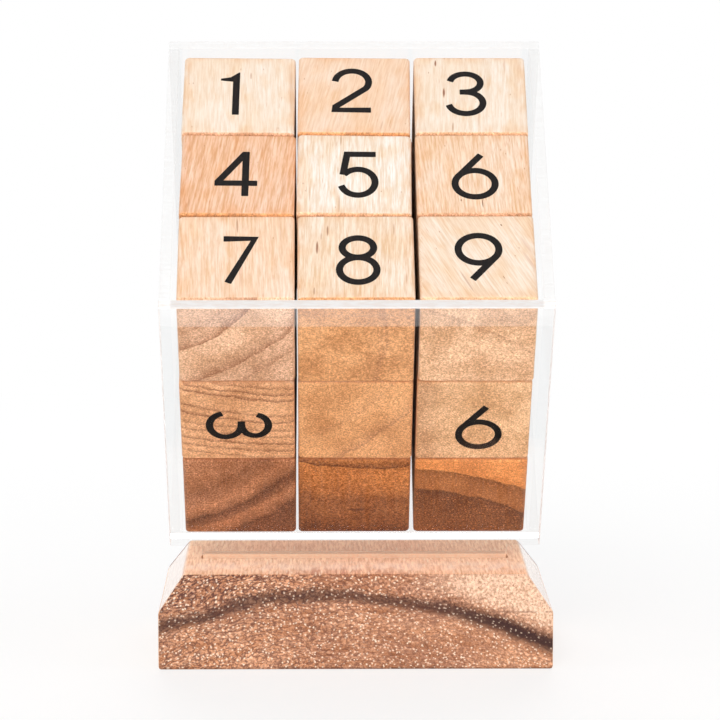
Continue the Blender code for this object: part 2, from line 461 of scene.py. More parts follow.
def marked(across, along, marks, ragged):
    """Where the small marks lie: their depth of colour in the middle of each, and 0 around it."""
    found = 0.0
    for mark in map(Mark._make, marks):
        from_side = (across - mark.across) / mark.half_width
        from_end = (along - mark.along) / mark.half_length
        spread = from_side * from_side + from_end * from_end + (ragged - 0.5) * 2.5
        found = spread.fall(0.2, 1.4).maths("MULTIPLY_ADD", mark.depth, found)
    return found


# The soft patterns in a cube's wood: waves per millimetre across, along and out, then detail and roughness
CUBE_CLOUDS = {
    "patches": ((0.10, 0.04, 0.10), 2, 0.5),
    "blotches": ((0.22, 0.12, 0.22), 2, 0.5),
    "waver": ((0.30, 0.05, 0.30), 2, 0.5),
    "fibres": ((1.9, 0.13, 1.9), 3, 0.7),
    "strokes": ((0.9, 0.09, 0.9), 3, 0.6),
    "grit": ((2.1, 0.7, 2.1), 2, 0.75),
    "clumps": ((0.9, 0.4, 0.9), 2, 0.5),
}

# The spots in it: cells per millimetre, the two reaches of a spot, the two chances and their channel
CUBE_SPOTS = {
    "hairs": ((1.5, 0.13, 1.5), (0.04, 0.20), (0.35, 0.85), 0),
    "flecks": ((0.40, 0.06, 0.40), (0.04, 0.14), (0.86, 0.9), 0),
    "pores": ((0.8, 0.35, 0.8), (0.06, 0.16), (0.80, 0.9), 1),
    "specks": ((1.4, 0.5, 1.4), (0.12, 0.40), (0.3, 0.9), 2),
}

# How many millimetres these push a ring out of round
RING_PUSHES = {"patches": 3.0, "waver": 1.2, "clumps": 0.5}

# How far into the patterns a cube's wood may lie, in millimetres
LOG_REACH = 900


def cube_figure(across, along, out, grain, draw):
    """The patterns in one cube's wood, on axes that follow its fibres."""
    wood = across.node("CombineXYZ", {0: across, 1: along, 2: out})
    wood = wood.moved([draw.uniform(-LOG_REACH, LOG_REACH) for axis in range(3)])
    found = patterns(wood, CUBE_CLOUDS, CUBE_SPOTS)
    side = across - grain.pith[0]
    rise = out - grain.pith[1]
    ring = (side * side + rise * rise) ** 0.5 - math.hypot(*grain.pith)
    for name, push in RING_PUSHES.items():
        ring = ring + (found[name] - 0.5) * push
    ring_place = ring / (2 * YEAR_REACH) + 0.5
    late_wood = ring.node("ValToRGB", {0: ring_place}, stops=year_stops(grain.years))
    return SimpleNamespace(late_wood=late_wood, **found)


def cube_long_grain(figure, grain, halo, face_marks):
    """The colour along a cube's fibres, darker in patches, stains, rings, fibres and small marks."""
    tone = grain.face
    richness = max(0, PALE_FACE - tone[1])
    stained = figure.blotches.rise(0.45, 0.72)
    face = (figure.patches.rise(0.35, 0.7) * 0.7).mix(tone, dimmed(tone, 0.98, 0.88, 0.77))
    face = (stained * 0.6).mix(face, dimmed(tone, 0.96, 0.81, 0.64))

    stroke_depth = 0.15 + richness * 0.8 + stained * 0.55
    face = (figure.strokes.rise(0.54, 0.72) * stroke_depth).mix(face, dimmed(tone, 0.91, 0.70, 0.50))
    ring_shade = dimmed(tone, 0.92 - richness, 0.72 - richness * 0.8, 0.52 - richness * 0.6)
    face = (figure.late_wood * grain.face_rings).mix(face, ring_shade)
    face = (halo * 0.5).mix(face, dimmed(tone, 0.93, 0.68, 0.48))

    fibre_depth = 0.05 + grain.flecks * 0.08 + richness * 0.25
    pale_fibre = tint(fibre_depth, 0.7, 1.4, 2.1)
    dark_fibre = tint(fibre_depth, -1.1, -2.1, -3.3)
    face = face.tinted(pale_fibre, dark_fibre, figure.fibres.rise(0.3, 0.7))
    hair_depth = 0.35 + grain.flecks * 0.6 + richness
    face = (figure.hairs * hair_depth).mix(face, dimmed(tone, 0.74, 0.42, 0.24))

    marks = figure.pores * 0.6 + figure.flecks * grain.flecks * 0.7 + face_marks
    return marks.mix(face, marks.mix(MARK_LIGHT, MARK_DARK))


def cube_end_grain(figure, grain):
    """The colour across a cube's fibres: its rings, broken up by clumps, grit and pale specks."""
    depth = 1 + max(0, PALE_END - grain.end[0]) * END_DEPTH
    gritty_late = figure.late_wood * (1 - figure.grit.rise(0.45, 0.70) * 0.25)
    end = gritty_late.mix(grain.end, grain.late)
    end = end.tinted(colour(1.14, 1.18, 1.23), colour(0.82, 0.74, 0.66), figure.patches.rise(0.25, 0.75))
    dark_clump = tint(depth, -0.08, -0.11, -0.14)
    pale_clump = tint(depth, 0.08, 0.11, 0.14)
    end = end.tinted(dark_clump, pale_clump, figure.clumps.rise(0.3, 0.7))
    dark_grit = tint(depth, -0.36, -0.42, -0.46)
    pale_grit = tint(depth, 0.30, 0.38, 0.46)
    end = end.tinted(dark_grit, pale_grit, figure.grit.rise(0.25, 0.75))
    end = end.tinted(WHITE, tint(depth, 0.40, 0.52, 0.68), figure.specks)
    return (figure.specks * figure.late_wood * 0.8).mix(end, dimmed(grain.end, 1.0, 0.95, 0.92))


def second_farthest(x, y, z):
    """How far out a point is on the second farthest of its axes, which is half a cube along every edge."""
    flat_far = abs(x).maths("MAXIMUM", abs(y))
    flat_near = abs(x).maths("MINIMUM", abs(y))
    return flat_near.maths("MAXIMUM", flat_far.maths("MINIMUM", abs(z)))


def cube_wood(name, grain, draw):
    """One cube's wood: rings about a pith, fine fibres along the cube, and darker, gritty end grain."""
    material, start = new_material(name)
    x, y, z = millimetres(start).parts()
    half = CUBE_HALF / MM
    drift = x + y * grain.lean
    figure = cube_figure(drift, y, z, grain, draw)

    near_edge = second_farthest(x, y, z)
    halo = near_edge.rise(half - 4.0, half) * figure.blotches.rise(0.3, 0.6)
    face_marks = marked(drift, y, grain.face_marks, figure.fibres) * z.rise(half - 1, half)
    face = cube_long_grain(figure, grain, halo, face_marks)
    end = cube_end_grain(figure, grain)
    if grain.end_marks:
        end_marks = marked(x, z, grain.end_marks, figure.clumps) * y.fall(1 - half, 2 - half)
        end = end_marks.mix(end, UMBER)

    is_end = abs(y).rise(half - 0.7, half - 0.3)
    base = is_end.mix(face, end)
    edge = near_edge.rise(half - 0.5, half - 0.05)
    base = (edge * 0.55).mix(base, dimmed(grain.end, 0.66, 0.53, 0.46))
    roughness = 0.50 + figure.fibres * 0.16
    height = figure.fibres * 0.7 + figure.grit * is_end * 0.5 - figure.late_wood * 0.3
    wood_surface(start, base, roughness, height, depth=0.06 * MM, gloss=0.25)
    return material


def ink():
    """Black printing ink that has soaked a little into the wood."""
    material, start = new_material("ink")
    place = millimetres(start)
    soaked = place.clouds((1.6, 0.4, 1.6), detail=3).rise(0.45, 0.75)
    base = soaked.mix(colour(0.008, 0.007, 0.007), colour(0.026, 0.018, 0.015))
    roughness = 0.55 + soaked * 0.2
    height = place.clouds((3.0, 0.5, 3.0))
    wood_surface(start, base, roughness, height, depth=0.02 * MM, gloss=0.12)
    return material


# The marks on the acrylic, in waves per millimetre: smears on its faces, the unevenness of its painted
# reflection, the brush on its painted end and the saw on its edges
SMEAR_WAVES = (0.05, 0.08, 0.05)
VEIL_WAVES = (0.06, 0.3, 0.3)
BRUSH_WAVES = (1.5, 0.4, 1.5)
SAW_WAVES = (0.25, 1.2, 1.2)

# The share of light that goes straight through a face and through an edge
FACE_LIGHT = 0.985
EDGE_LIGHT = 0.95

# How milky each kind of edge is between the side walls, and beyond them
EDGE_MILKINESS = {
    "acrylic_front_rim": (0.80, 1.0),
    "acrylic_wall_rim": (0.20, 0.20),
    "acrylic_glued_edge": (0.03, 0.03),
}


def polished(start):
    """Clear acrylic that bends the view through it and mirrors a little of the light."""
    smears = millimetres(start).clouds(SMEAR_WAVES, detail=3)
    others = {"IOR": 1.49, "Specular Tint": colour(0.5, 0.5, 0.5), "Transmission Weight": 1.0}
    return surface_of(start, colour(0.994, 0.997, 0.997), 0.008 + smears * 0.012, others)


def clear_sheet(start):
    """Clear acrylic that doesn't bend the view, with a trace of gloss."""
    smears = millimetres(start).clouds(SMEAR_WAVES, detail=3)
    gloss = surface_of(start, colour(0.97, 0.97, 0.97), 0.02 + smears * 0.03, {"Metallic": 1.0})
    clear = start.node("BsdfTransparent", {0: colour(0.990, 0.992, 0.992)})
    return (0.02 + smears * 0.03).blend(clear, gloss)


def acrylic_front(tray_floor, rim, outer_face):
    """The front sheet, which shows the cubes behind it and a painted reflection below its rim. The end of its
    tongue is painted like the plinth.
    """
    material, start = new_material("acrylic_front")
    place = millimetres(start)
    back, out = place.parts()[1:]
    above_table = back * BACK.z + out * OUT.z
    paint_end = PLINTH_HEIGHT + PAINT_ABOVE_PLINTH
    painted = above_table.fall(paint_end, paint_end + PAINT_FADE)
    below_floor = out.fall(tray_floor, tray_floor + 0.5)
    # A faint milky band on the outer face below the rim: a painted reflection of the bright table
    veil_end = rim - PAINTED_VEIL_BAND
    painted_veil_mask = out.rise(veil_end, veil_end + PAINTED_VEIL_FADE) * back.fall(outer_face + 0.5, outer_face + 1.0)
    veil_unevenness = place.clouds(VEIL_WAVES)
    painted_veil = surface_of(start, colour(0.97, 0.96, 0.96), 0.5 + veil_unevenness * 0.2)
    brushing = place.clouds(BRUSH_WAVES)
    brushed = brushing.rise(0.3, 0.7).mix(colour(1.0, 0.86, 0.72), colour(0.99, 0.77, 0.61))
    paint = surface_of(start, brushed, 0.5 + brushing * 0.2)
    sheet = below_floor.blend(polished(start), clear_sheet(start))
    sheet = (painted_veil_mask * (0.09 + veil_unevenness * 0.06)).blend(sheet, painted_veil)
    let_light_through(start, painted.blend(sheet, paint), FACE_LIGHT)
    return material


def acrylic_wall():
    """The other sheets, which are seen along their length and hardly show."""
    material, start = new_material("acrylic_wall")
    let_light_through(start, clear_sheet(start), FACE_LIGHT)
    return material


def acrylic_edge(name, milkiness, end_milkiness):
    """A sawn and scraped edge of the sheet: so milky between the side walls, and so milky beyond them."""
    material, start = new_material(name)
    place = millimetres(start)
    saw_marks = place.clouds(SAW_WAVES, detail=3, roughness=0.6)
    scraped = saw_marks.rise(0.3, 0.7).mix(colour(0.99, 0.98, 0.975), colour(0.82, 0.75, 0.71))
    milky = surface_of(start, scraped, 0.3 + saw_marks * 0.3)
    clear = start.node("BsdfTransparent", {0: colour(0.975, 0.978, 0.978)})
    at_ends = abs(place.parts()[0]).rise(INNER_HALF_WIDTH - 0.5, INNER_HALF_WIDTH + 0.5)
    share = (0.8 + saw_marks * 0.4) * (milkiness + at_ends * (end_milkiness - milkiness))
    let_light_through(start, share.blend(clear, milky), EDGE_LIGHT)
    return material


def let_light_through(start, shader, share):
    """Finishes a clear material: light from the lamps and from other surfaces goes straight through it."""
    through = start.node("BsdfTransparent", {0: colour(share, share, share)})
    passing = any_ray(start, "Shadow", "Diffuse")
    start.node("OutputMaterial", {0: passing.blend(shader, through)})


def any_ray(start, *kinds):
    """1 for rays of these kinds."""
    rays = [start.node("LightPath", output=f"Is {kind} Ray") for kind in kinds]
    found = rays[0]
    for ray in rays[1:]:
        found = found.maths("MAXIMUM", ray)
    return found


# The patterns in the plinth's wood, like those of the cubes, along its own three axes
PLINTH_CLOUDS = {
    "patches": ((0.045, 0.02, 0.09), 2, 0.5),
    "fine": ((1.5, 0.12, 1.5), 3, 0.75),
    "wander": ((0.05, 0.012, 0.10), 3, 0.5),
    "worn": ((0.25, 0.1, 0.4), 2, 0.5),
}
PLINTH_SPOTS = {"dashes": ((1.1, 0.09, 1.1), (0.10, 0.42), (0.2, 0.8), 0)}

# The patterns that follow its rings: around the pith, along the fibres and away from the pith
PLINTH_PORE_CELLS = (1.0, 0.09, 1.3)
PLINTH_ROW_CLOUDS = {
    "streaks": ((0.10, 0.05, 0.8), 3, 0.65),
    "vein_clouds": ((0.50, 0.04, 1.25), 2, 0.5),
}
PLINTH_ROW_SPOTS = {
    "pores": (PLINTH_PORE_CELLS, (0.16, 0.36), (0.0, 0.3), 0),
    "pale_strokes": ((0.65, 0.08, 1.6), (0.10, 0.42), (0.2, 0.8), 1),
}

# Where the plinth's wood lies in the patterns, how far its rings wander and how far its rows are jumbled
PLINTH_WOOD_PLACE = (310.0, 140.0, -75.0)
PLINTH_WANDER = 4.0
PLINTH_JUMBLE = 0.6
PLINTH_JUMBLE_WAVES = (0.8, 0.06, 0.8)

# The arch of strokes along the front of the plinth's top, in millimetres
ARCH_MIDDLE = -3
ARCH_HALF_WIDTH = 24
ARCH_DEPTH = 11
ARCH_WEAR = 8


def plinth_figure(start):
    """The patterns in the plinth's wood, with rows of pores about its pith and a dark ring among them."""
    place = millimetres(start)
    x, y, z = place.parts()
    wood = place.moved(PLINTH_WOOD_PLACE)
    figure = SimpleNamespace(x=x, y=y, z=z, **patterns(wood, PLINTH_CLOUDS, PLINTH_SPOTS))
    jumble = start.node("TexNoise", {"Vector": wood.stretched(PLINTH_JUMBLE_WAVES), "Scale": 1.0}, output=1)
    side = x - PLINTH_PITH[0]
    rise = z - PLINTH_PITH[1]
    radius = (side * side + rise * rise) ** 0.5 + (figure.wander - 0.5) * PLINTH_WANDER
    around = side.maths("ARCTAN2", rise) * PLINTH_BAND
    rows = start.node("CombineXYZ", {0: around, 1: y, 2: radius})
    rows = rows.moved(jumble.node("VectorMath", {0: jumble, "Scale": PLINTH_JUMBLE}, operation="SCALE"))
    vars(figure).update(patterns(rows, PLINTH_ROW_CLOUDS, PLINTH_ROW_SPOTS), rows=rows)
    figure.veins = abs(figure.vein_clouds - 0.5).fall(0.015, 0.085)

    rightward = x.rise(8, 45)
    spread = 1 + rightward * 0.6 + x.fall(-50, -25) * 0.4
    from_band = (radius - PLINTH_BAND + (figure.fine - 0.5) * 2.6 + rightward * 0.5) / spread
    band_depth = 0.72 + rightward * 0.24
    figure.band = from_band.rise(-2.4, -0.3) * from_band.fall(0.4, 2.4) * band_depth
    figure.above_band = from_band.rise(1.0, 4.5)
    figure.up_bevel = (z - PLINTH_FACE_HEIGHT) / (PLINTH_HEIGHT - PLINTH_FACE_HEIGHT)
    return figure


def plinth_end_grain(figure):
    """The colour of the plinth's ends: pale pores and dark veins in rows, one dark band, and a painted
    contact shadow along the foot.
    """
    x = figure.x
    rows = figure.rows
    pores = figure.pores
    pale_side = figure.above_band * x.rise(10, 34)
    dark_side = figure.above_band * x.fall(-42, -4)
    on_bevel = figure.up_bevel.rise(0.0, 0.1)

    end = figure.patches.rise(0.3, 0.7).mix(colour(0.72, 0.355, 0.193), colour(0.50, 0.23, 0.126))
    end = end.tinted(colour(0.74, 0.66, 0.60), colour(1.22, 1.30, 1.38), figure.streaks.rise(0.3, 0.7))
    end = (pale_side * 0.8).mix(end, colour(0.95, 0.64, 0.45))
    end = end.tinted(colour(0.62, 0.54, 0.48), colour(1.30, 1.40, 1.50), figure.fine.rise(0.3, 0.7))
    vein_depth = 0.42 + x.fall(-40, 35) * 0.35 + dark_side * 0.2 + on_bevel * 0.1 - pale_side * 0.40
    end = (figure.veins * vein_depth).mix(end, colour(0.14, 0.058, 0.045))
    seams = rows.cells(PLINTH_PORE_CELLS).rise(0.45, 0.7) * figure.streaks.rise(0.45, 0.6)
    end = (seams * (0.40 + on_bevel * 0.2 - pale_side * 0.4)).mix(end, colour(0.15, 0.06, 0.045))

    end = (figure.pale_strokes * (0.12 + x.fall(-30, 30) * 0.5)).mix(end, colour(0.96, 0.60, 0.40))
    end = (pores * (0.85 - pale_side * 0.35)).mix(end, colour(1.0, 0.80, 0.62))
    pinholes = rows.cells((1.25, 0.12, 1.25)).fall(0.06, 0.24)
    end = (pinholes * pale_side * 0.85).mix(end, colour(0.26, 0.09, 0.05))
    end = (figure.band * (1.0 - pores * 0.45)).mix(end, colour(0.045, 0.022, 0.022))
    # Darker along the edge to the bevel, and a painted contact shadow along the foot
    arris = abs(figure.z - PLINTH_FACE_HEIGHT).fall(0.05, 0.45) * figure.worn.rise(0.4, 0.6)
    foot_shadow = figure.z.fall(0.15, 1.0) * figure.worn.rise(0.3, 0.6)
    return (arris * 0.45 + foot_shadow * 0.6).mix(end, colour(0.10, 0.035, 0.02))


def plinth_long_grain(figure, side_bevel, far_shade_line):
    """The colour of the plinth's top and sides: pale dashes, an arch of strokes along the top's front,
    painted light across the top's front and on the side bevels, and painted shade along the bevels' back
    edges.
    """
    grain = figure.patches.rise(0.3, 0.75).mix(colour(1.0, 0.615, 0.37), colour(0.98, 0.535, 0.30))
    grain = grain.tinted(colour(0.74, 0.62, 0.53), colour(1.12, 1.26, 1.40), figure.fine.rise(0.3, 0.7))
    grain = (figure.dashes * 0.7).mix(grain, colour(1.0, 0.75, 0.54))
    from_front = figure.y + PLINTH_TOP_EDGE
    # Painted light: a paler band across the front of the top, and the side bevels taken half way to near
    # white as a painted highlight
    painted_light_band = from_front.rise(3, 9) * from_front.fall(12, 20) * figure.worn.rise(0.3, 0.6) * 0.22
    grain = painted_light_band.maths("MAXIMUM", side_bevel * 0.5).mix(grain, colour(1.0, 0.93, 0.88))
    # Painted shade along the back edge of each side bevel
    grain = (far_shade_line * 0.9).mix(grain, colour(0.20, 0.08, 0.05))
    grain = (figure.band * 0.5).mix(grain, colour(0.14, 0.055, 0.04))

    from_arch = (figure.x - ARCH_MIDDLE) / ARCH_HALF_WIDTH
    past_arch = from_front + from_arch * from_arch * ARCH_DEPTH - ARCH_DEPTH + (figure.worn - 0.5) * ARCH_WEAR
    arch = past_arch.fall(-5.0, 3.0)
    strokes = figure.veins * 0.55 + figure.streaks.rise(0.4, 0.7) * 0.35
    grain = (arch * strokes).mix(grain, colour(0.50, 0.19, 0.095))
    return (arch * figure.pores * 0.7).mix(grain, colour(1.0, 0.78, 0.58))


def plinth_wood():
    """The plinth's reddish wood: end grain in front and behind, paler long grain on top and at the sides."""
    material, start = new_material("plinth_wood")
    figure = plinth_figure(start)
    at_sides = abs(figure.x).rise(PLINTH_SIDE_BEVEL - 0.5, PLINTH_SIDE_BEVEL + 1.0)
    side_bevel = at_sides * figure.z.rise(PLINTH_FACE_HEIGHT, PLINTH_FACE_HEIGHT + 0.8)
    end_plane = PLINTH_HALF_DEPTH - figure.up_bevel.maths("MAXIMUM", 0) * PLINTH_BEVEL_RUN
    # Painted shade: a dark line along the back of each side bevel, where its rounded edge turns away from the
    # light
    far_shade_line = (figure.y - end_plane).rise(-3.2, -2.2) * side_bevel
    is_end = (abs(figure.y) - end_plane).rise(-0.6, -0.25)
    base = is_end.mix(plinth_long_grain(figure, side_bevel, far_shade_line), plinth_end_grain(figure))
    roughness = 0.55 + figure.fine * 0.2
    height = figure.fine * 0.5 - figure.pores * is_end * 0.7
    varnish = side_bevel * (1 - is_end) * (1 - far_shade_line)
    wood_surface(start, base, roughness, height, depth=0.08 * MM, gloss=0.08, varnish=varnish)
    return material


def finished(form, name):
    """A form as a mesh."""
    mesh = bpy.data.meshes.new(name)
    form.to_mesh(mesh)
    form.free()
    return mesh


def shown(name, data):
    """A new object in the scene."""
    thing = bpy.data.objects.new(name, data)
    bpy.context.scene.collection.objects.link(thing)
    return thing


def turned(degrees, axis):
    return Matrix.Rotation(math.radians(degrees), 4, axis)


def rounded_lines(rounding):
    """Where a cube's grid lines lie along one axis: close together in the rounding, then one flat."""
    inner = CUBE_HALF - rounding
    steps = [math.tan(math.radians(45) * step / ROUNDING_STEPS) for step in range(ROUNDING_STEPS, 0, -1)]
    outer = [inner + rounding * step for step in steps]
    half = outer + [inner, inner - FLAT_MARGIN]
    return [-line for line in half] + half[::-1]


def rounded_point(point, draw_place):
    """A point of a sharp cube, drawn in to a rounded edge that sanding left a little uneven."""
    waver = noise.noise(point * ROUNDING_WAVES + draw_place)
    rounding = CUBE_ROUNDING * (1 + ROUNDING_UNEVENNESS * waver)
    inner = [CUBE_HALF - reach for reach in rounding]
    core = Vector([max(-limit, min(limit, part)) for limit, part in zip(inner, point)])
    outward = Vector([part / reach for part, reach in zip(point - core, rounding)]).normalized()
    return core + outward * rounding


def cube_mesh(name, draw_place):
    """A cube with sanded, slightly uneven edges, about its own middle."""
    lines = [rounded_lines(rounding) for rounding in CUBE_ROUNDING]
    count = len(lines[0])
    form = bmesh.new()
    for axis in range(3):
        first_lines, second_lines = lines[:axis] + lines[axis + 1:]
        for side in (-CUBE_HALF, CUBE_HALF):
            corners = []
            for first in first_lines:
                for second in second_lines:
                    parts = [first, second]
                    parts.insert(axis, side)
                    corners.append(form.verts.new(rounded_point(Vector(parts), draw_place)))
            for i in range(count - 1):
                for j in range(count - 1):
                    k = i * count + j
                    form.faces.new([corners[n] for n in (k, k + 1, k + count + 1, k + count)])
    bmesh.ops.remove_doubles(form, verts=form.verts, dist=0.001 * MM)
    bmesh.ops.recalc_face_normals(form, faces=form.faces)
    for face in form.faces:
        face.smooth = True
    return finished(form, name)


def arc(middle, radii, start, end):
    """Points along part of an ellipse, from one angle to another in degrees."""
    start = math.radians(start)
    end = math.radians(end)
    count = max(2, round(abs(end - start) / ARC_STEP))
    angles = [start + (end - start) * step / count for step in range(count + 1)]
    return [
        Vector((middle[0] + radii[0] * math.cos(a), middle[1] + radii[1] * math.sin(a)))
        for a in angles
    ]


def straight(*points):
    return [Vector(point) for point in points]


def loop(middle, radii):
    return arc(middle, radii, 0, 360)


# A filled outline, for the part of a digit that isn't of one width
Blade = namedtuple("Blade", "outline")

# Each digit's strokes, as the middle lines of a pen, about the digit's own middle
SIX = [loop((0, -2.5), (5.25, 4.6)), straight((-4.45, -0.1), (1.6, 7.3))]
DIGITS = {
    1: [
        straight((0.4, -7.4), (0.4, 5.0)),
        Blade(
            straight((1.32, 4.5), (1.32, 7.7), (1, 7.7), (-1.2, 5.9), (-3.8, 5.4), (-3.8, 4.7), (-0.52, 4.3))
        ),
    ],
    2: [arc((0, 3.1), (4.5, 4.1), 172, -34) + straight((-4.3, -5.9), (-4.5, -7.1), (4.8, -7.1))],
    3: [
        arc((0, 3.9), (4.1, 3.3), 165, -90),
        arc((0, -3.4), (4.6, 3.9), 90, -165),
        straight((-1.2, 0.55), (0.6, 0.55)),
    ],
    4: [
        straight((2.5, -7.4), (2.5, 7.4)),
        straight((2.2, 7.0), (-4.7, -2.9)),
        straight((-5.2, -3.3), (5.3, -3.3)),
    ],
    5: [straight((4.4, 7.1), (-2.8, 7.1), (-3.8, 0.2)), arc((0.1, -2.7), (4.5, 4.5), 140, -160)],
    6: SIX,
    7: [straight((-4.1, 7.1), (3.6, 7.1), (-3.0, -7.3))],
    8: [loop((0, 4.1), (4.05, 3.25)), loop((0, -3.3), (4.8, 4.1))],
    9: [[-point for point in stroke] for stroke in SIX],
}


# A pen stroke's blunt end with eased corners, as shares of half its width and of its reach
TIP_ANGLES = [math.pi * step / PEN_END_STEPS for step in range(1, PEN_END_STEPS)]
PEN_TIP = [
    (
        math.copysign(abs(math.cos(angle)) ** PEN_END_SQUARENESS, math.cos(angle)),
        math.sin(angle) ** PEN_END_SQUARENESS,
    )
    for angle in TIP_ANGLES
]


def offset_side(path, width, closed):
    """The points at a distance to the left of each point of a path, mitred at its corners."""
    count = len(path)
    made = []
    for i, point in enumerate(path):
        before = path[i - 1] if i > 0 or closed else None
        after = path[(i + 1) % count] if i < count - 1 or closed else None
        into = (point - before).normalized() if before is not None else None
        out = (after - point).normalized() if after is not None else into
        into = into if into is not None else out
        normal = Vector((-into.y - out.y, into.x + out.x)).normalized()
        reach = max(SHARPEST_MITRE, normal.dot(Vector((-into.y, into.x))))
        made.append(point + normal * (width / reach))
    return made


def stroke_form(path, half_width):
    """One pen stroke as a slab one millimetre thick, with blunt ends, or a ring where the path is closed."""
    closed = (path[0] - path[-1]).length < SAME_POINT
    if closed:
        path = path[:-1]
    left = offset_side(path, half_width, closed)
    right = offset_side(path, -half_width, closed)
    form = bmesh.new()
    left_verts = [form.verts.new((*point, 0)) for point in left]
    right_verts = [form.verts.new((*point, 0)) for point in right]
    pairs = list(zip(left_verts, right_verts))
    for (a, b), (c, d) in zip(pairs, pairs[1:] + pairs[:1] if closed else pairs[1:]):
        form.faces.new((a, b, d, c))
    if not closed:
        for end, pair, turn in ((path[0], pairs[0], 1), (path[-1], pairs[-1], -1)):
            to_left = pair[0].co.to_2d() - end
            ahead = Matrix.Rotation(turn * math.pi / 2, 2) @ to_left.normalized() * PEN_END
            tip = [end + to_left * across + ahead * out for across, out in PEN_TIP]
            form.faces.new([pair[0], *(form.verts.new((*point, 0)) for point in tip), pair[1]])
    return slab_mesh(form)


def blade_form(outline):
    """A filled outline as a slab one millimetre thick."""
    form = bmesh.new()
    form.faces.new([form.verts.new((*point, 0)) for point in outline])
    return slab_mesh(form)


def slab_mesh(form):
    """A flat form made one millimetre thick."""
    slab = bmesh.ops.extrude_face_region(form, geom=form.faces[:])
    bmesh.ops.translate(
        form, vec=(0, 0, 1), verts=[v for v in slab["geom"] if isinstance(v, bmesh.types.BMVert)]
    )
    bmesh.ops.scale(form, vec=(1, DIGIT_TALLNESS, 1), verts=form.verts)
    bmesh.ops.recalc_face_normals(form, faces=form.faces)
    return finished(form, "stroke")


def digit_mesh(digit):
    """A digit's strokes, joined to one slab in millimetres."""
    forms = [
        blade_form(*stroke) if isinstance(stroke, Blade) else stroke_form(stroke, STROKE / 2)
        for stroke in DIGITS[digit]
    ]
    parts = [shown("stroke", form) for form in forms]
    for other in parts[1:]:
        join = parts[0].modifiers.new("join", "BOOLEAN")
        join.operation = "UNION"
        join.solver = "EXACT"
        join.object = other
    graph = bpy.context.evaluated_depsgraph_get()
    mesh = bpy.data.meshes.new_from_object(parts[0].evaluated_get(graph), depsgraph=graph)
    for part in parts:
        bpy.data.objects.remove(part)
    return mesh


# Which face of a cube carries its number: the turn that brings +Z to that face, with the number upright
FACE_TURNS = {
    "out": Matrix.Identity(4),
    "in": turned(180, "X"),
    "front": turned(90, "X"),
    "back": turned(180, "Z") @ turned(90, "X"),
    "left": turned(-90, "Z") @ turned(90, "X"),
    "right": turned(90, "Z") @ turned(90, "X"),
}

# Each cube's number, the face it is on, how far it is turned clockwise, and its shift right and up in mm
Printed = namedtuple("Printed", "digit face turn right up", defaults=(0, 0, 0))

# One for each of the cubes, in their order
PRINTS = (
    # The bottom layer
    Printed(5, "in", 90, 0.2, 0.3), Printed(1, "out", 0), Printed(9, "right", 270, 0.2, 0.0),
    Printed(7, "left", 0, 0.4, -0.4), Printed(3, "in", 270), Printed(8, "out", 0),
    Printed(6, "in", 0), Printed(4, "out", 0), Printed(2, "back", 180, -0.3, 0.2),
    # The middle layer
    Printed(3, "front", 90, 0.4, -1.3), Printed(7, "in", 90), Printed(6, "front", 0, 1.5, -2.4),
    Printed(2, "out", 180), Printed(9, "back", 0), Printed(4, "right", 0, -0.4, 0.2),
    Printed(8, "left", 90), Printed(1, "back", 0, 0.3, 0.4), Printed(5, "in", 0),
    # The top layer
    Printed(7, "out", 0, 1.15, -1.3), Printed(8, "out", 0, 0.55, -1.3), Printed(9, "out", 0, 0.35, -0.2),
    Printed(4, "out", 0, -0.5, 0.0), Printed(5, "out", 0, 0.85, -0.3), Printed(6, "out", 0, 0.4, -1.1),
    Printed(1, "out", 0, -1.2, 0.5), Printed(2, "out", 0, -0.6, 1.6), Printed(3, "out", 0, -1.3, 0.4),
)


def place_piece(name, mesh, place, body, slot, *replaced):
    """Shows a mesh as a piece of the object that moves with a body."""
    piece = shown(name, mesh)
    piece.matrix_world = place
    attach(piece, body)
    if replaced:
        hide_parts(*replaced)


def build_cubes():
    """Every cube with its own wood and its own printed number."""
    digits = {digit: digit_mesh(digit) for digit in DIGITS}
    ink_material = ink()
    for (layer, name), printed in zip(CUBES, PRINTS):
        draw = random.Random(name)
        low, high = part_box(name)
        turn = SEEN_TURNS.get(name, draw.uniform(-SLACK_TURN, SLACK_TURN))
        shift = ACROSS * draw.uniform(-SLACK_SHIFT, SLACK_SHIFT)
        place = Matrix.Translation((low + high) / 2 + shift) @ TRAY_TURN @ turned(turn, "Z")
        draw_place = Vector([draw.uniform(-50, 50) for axis in range(3)])
        mesh = cube_mesh("wood_" + name, draw_place)
        grain = SEEN_GRAINS.get(name) or hidden_grain(layer, draw)
        mesh.materials.append(cube_wood("wood_" + name, grain, draw))
        place_piece("wood_" + name, mesh, place, name, LAYER_SLOTS[layer], name)
        number = printed_number(digits, printed, ink_material)
        place_piece("number_" + name, number, place, name, LAYER_SLOTS[layer])


def printed_number(digits, printed, material):
    """A cube's number as a film of ink on its face, in the cube's own axes."""
    mesh = digits[printed.digit].copy()
    thickness = (INK_SUNK + INK_PROUD) * MM
    turn = turned(-printed.turn, "Z")
    shift = Vector((printed.right * MM, printed.up * MM, CUBE_HALF - INK_SUNK * MM))
    size = Matrix.Diagonal((MM, MM, thickness, 1))
    mesh.transform(FACE_TURNS[printed.face] @ Matrix.Translation(shift) @ turn @ size)
    mesh.materials.clear()
    mesh.materials.append(material)
    return mesh


# The axis of the tray along which each sheet is thin: 0 across, 1 back, 2 out
SHEET_AXES = {"front_panel": 1, "back_panel": 1, "left_panel": 0, "right_panel": 0, "floor_panel": 2}

# How squarely a polygon looks along an axis to count as a sheet's face, or as its rim or sawn end
FACING = 0.98
RIM_FACING = 0.5


def tray_points(node):
    """A node's points in millimetres, on the tray's own axes."""
    into_tray = TRAY_TURN.inverted()
    return [(into_tray @ vert.co) / MM for vert in frame["nodes"][node].data.vertices]


